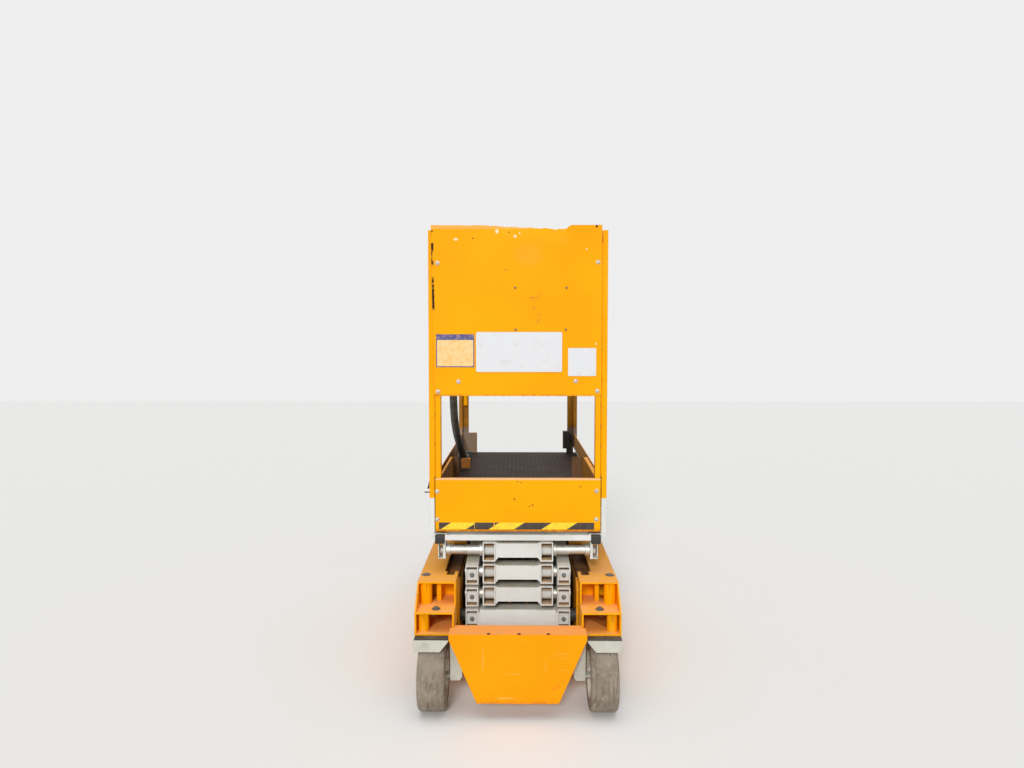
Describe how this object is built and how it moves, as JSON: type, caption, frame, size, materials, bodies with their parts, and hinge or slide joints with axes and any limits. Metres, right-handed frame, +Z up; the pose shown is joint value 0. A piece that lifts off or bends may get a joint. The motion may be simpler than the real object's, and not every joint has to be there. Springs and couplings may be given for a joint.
{
  "type": "scissor lift",
  "caption": "Narrow electric scissor lift: wheeled chassis, folding cross-arm stack, railed platform with roll-out end deck and gate.",
  "frame": {"origin": "on the floor under the middle of the machine's outline, wheels on the floor", "axes": "+X to the right seen from the steered end, +Y from the steered end to the entry end, +Z up"},
  "size_m": [0.76, 1.854, 1.813],
  "materials": {
    "orange_paint": "satin, worn",
    "grey_paint": "satin",
    "zinc": "bright zinc",
    "steel": "machined",
    "tyre": "dusty, non-marking grey rubber",
    "rim_paint": "satin",
    "black_plastic": "matte",
    "black_steel": "satin",
    "floor": "worn tread plate"
  },
  "bodies": {
    "chassis": {"trough_floor": "orange_paint", "trough_wall_left": "orange_paint", "trough_wall_right": "orange_paint", "chassis_end": "orange_paint", "steer_box_left": "orange_paint", "steer_box_right": "orange_paint", "side_box_left": "orange_paint", "side_box_right": "orange_paint", "battery_pack": "black_plastic", "hydraulic_unit": "black_steel", "front_skirt": "orange_paint", "entry_step": "orange_paint", "rear_axle": "black_steel", "base_pins": "black_steel", "lift_barrel_pin": "steel"},
    "door_left": {"door_left": "orange_paint"},
    "door_right": {"door_right": "orange_paint"},
    "knuckle_left": {"knuckle_left": "grey_paint"},
    "knuckle_right": {"knuckle_right": "grey_paint"},
    "tie_rod": {"tie_rod": "black_steel"},
    "wheel_front_left": {"tyre_front_left": "tyre", "rim_front_left": "rim_paint"},
    "wheel_front_right": {"tyre_front_right": "tyre", "rim_front_right": "rim_paint"},
    "wheel_rear_left": {"tyre_rear_left": "tyre", "rim_rear_left": "rim_paint"},
    "wheel_rear_right": {"tyre_rear_right": "tyre", "rim_rear_right": "rim_paint"},
    "outer_level_1": {"outer_arms_1": "grey_paint", "outer_pins_1": "zinc"},
    "inner_level_1": {"inner_arms_1": "grey_paint", "inner_pins_1": "zinc"},
    "outer_level_2": {"outer_arms_2": "grey_paint", "outer_pins_2": "zinc"},
    "inner_level_2": {"inner_arms_2": "grey_paint", "inner_pins_2": "zinc"},
    "outer_level_3": {"outer_arms_3": "grey_paint", "outer_pins_3": "zinc"},
    "inner_level_3": {"inner_arms_3": "grey_paint", "inner_pins_3": "zinc"},
    "lift_barrel": {"lift_barrel": "black_steel"},
    "lift_rod": {"lift_rod": "zinc"},
    "platform": {"platform_frame": "grey_paint", "front_beam": "grey_paint", "slide_tracks": "grey_paint", "platform_floor": "floor", "outlet_box": "black_plastic", "guard_rail_left": "orange_paint", "guard_rail_right": "orange_paint", "control_box": "black_plastic", "conduit_gland": "black_plastic", "conduit": "black_plastic", "top_shaft": "zinc"},
    "gate": {"gate": "orange_paint"},
    "extension": {"extension_deck": "floor", "extension_nose": "floor", "extension_rails": "orange_paint", "end_panel_top": "orange_paint", "end_panel_low": "orange_paint", "manual_box": "black_plastic"}
  },
  "joints": [
    {"name": "roll_front_left", "type": "hinge", "parent": "knuckle_left", "child": "wheel_front_left", "pos_m": [-0.314, -0.8, 0.127], "axis": [1, 0, 0], "continuous": true},
    {"name": "roll_front_right", "type": "hinge", "parent": "knuckle_right", "child": "wheel_front_right", "pos_m": [0.314, -0.8, 0.127], "axis": [1, 0, 0], "continuous": true},
    {"name": "roll_rear_left", "type": "hinge", "parent": "chassis", "child": "wheel_rear_left", "pos_m": [-0.314, 0.6, 0.127], "axis": [1, 0, 0], "continuous": true},
    {"name": "roll_rear_right", "type": "hinge", "parent": "chassis", "child": "wheel_rear_right", "pos_m": [0.314, 0.6, 0.127], "axis": [1, 0, 0], "continuous": true},
    {"name": "steer_left", "type": "hinge", "parent": "chassis", "child": "knuckle_left", "pos_m": [-0.35, -0.8, 0.28], "axis": [0, 0, 1], "range_deg": [-25, 25]},
    {"name": "steer_right", "type": "hinge", "parent": "chassis", "child": "knuckle_right", "pos_m": [0.35, -0.8, 0.28], "axis": [0, 0, 1], "range_deg": [-26, 26]},
    {"name": "tie_rod_left_eye", "type": "hinge", "parent": "knuckle_left", "child": "tie_rod", "pos_m": [-0.35, -0.68, 0.246], "axis": [0, 0, 1], "range_deg": [-26, 26]},
    {"name": "lift", "type": "hinge", "parent": "chassis", "child": "outer_level_1", "pos_m": [0, -0.62, 0.289], "axis": [1, 0, 0], "range_deg": [0, 47.33]},
    {"name": "middle_pin_1", "type": "hinge", "parent": "outer_level_1", "child": "inner_level_1", "pos_m": [0, 0.05861, 0.3325], "axis": [1, 0, 0], "range_deg": [-95.16, 0]},
    {"name": "near_pin_1", "type": "hinge", "parent": "inner_level_1", "child": "outer_level_2", "pos_m": [0, -0.62, 0.376], "axis": [1, 0, 0], "range_deg": [0, 95.16]},
    {"name": "middle_pin_2", "type": "hinge", "parent": "outer_level_2", "child": "inner_level_2", "pos_m": [0, 0.05861, 0.4195], "axis": [1, 0, 0], "range_deg": [-95.16, 0]},
    {"name": "near_pin_2", "type": "hinge", "parent": "inner_level_2", "child": "outer_level_3", "pos_m": [0, -0.62, 0.463], "axis": [1, 0, 0], "range_deg": [0, 95.16]},
    {"name": "middle_pin_3", "type": "hinge", "parent": "outer_level_3", "child": "inner_level_3", "pos_m": [0, 0.05861, 0.5065], "axis": [1, 0, 0], "range_deg": [-95.16, 0]},
    {"name": "platform_pin", "type": "hinge", "parent": "inner_level_3", "child": "platform", "pos_m": [0, -0.62, 0.55], "axis": [1, 0, 0], "range_deg": [0, 47.83]},
    {"name": "lift_barrel_tilt", "type": "hinge", "parent": "chassis", "child": "lift_barrel", "pos_m": [0, -0.32, 0.229], "axis": [1, 0, 0], "range_deg": [0, 56.2]},
    {"name": "lift_rod_stroke", "type": "slide", "parent": "lift_barrel", "child": "lift_rod", "axis": [0, 0.9687, 0.2483], "range_m": [0, 0.0966]},
    {"name": "extension_slide", "type": "slide", "parent": "platform", "child": "extension", "axis": [0, -1, 0], "range_m": [0, 0.45]},
    {"name": "gate_hinge", "type": "hinge", "parent": "platform", "child": "gate", "pos_m": [-0.3075, 0.838, 1.4], "axis": [0, 0, 1], "range_deg": [-90, 0]},
    {"name": "door_left_hinge", "type": "hinge", "parent": "chassis", "child": "door_left", "pos_m": [-0.373, 0.422, 0.28], "axis": [0, 0, 1], "range_deg": [-90, 0]},
    {"name": "door_right_hinge", "type": "hinge", "parent": "chassis", "child": "door_right", "pos_m": [0.373, 0.422, 0.28], "axis": [0, 0, 1], "range_deg": [0, 90]}
  ],
  "couplings": [
    {"joint": "steer_right", "follows": "steer_left", "ratio": 1},
    {"joint": "tie_rod_left_eye", "follows": "steer_left", "ratio": -1},
    {"joint": "middle_pin_1", "follows": "lift", "ratio": -2},
    {"joint": "near_pin_1", "follows": "lift", "ratio": 2},
    {"joint": "middle_pin_2", "follows": "lift", "ratio": -2},
    {"joint": "near_pin_2", "follows": "lift", "ratio": 2},
    {"joint": "middle_pin_3", "follows": "lift", "ratio": -2},
    {"joint": "platform_pin", "follows": "lift", "ratio": 1},
    {"joint": "lift_barrel_tilt", "follows": "lift", "ratio": 1.1769},
    {"joint": "lift_rod_stroke", "follows": "lift", "m_per_rad": 0.11574}
  ]
}
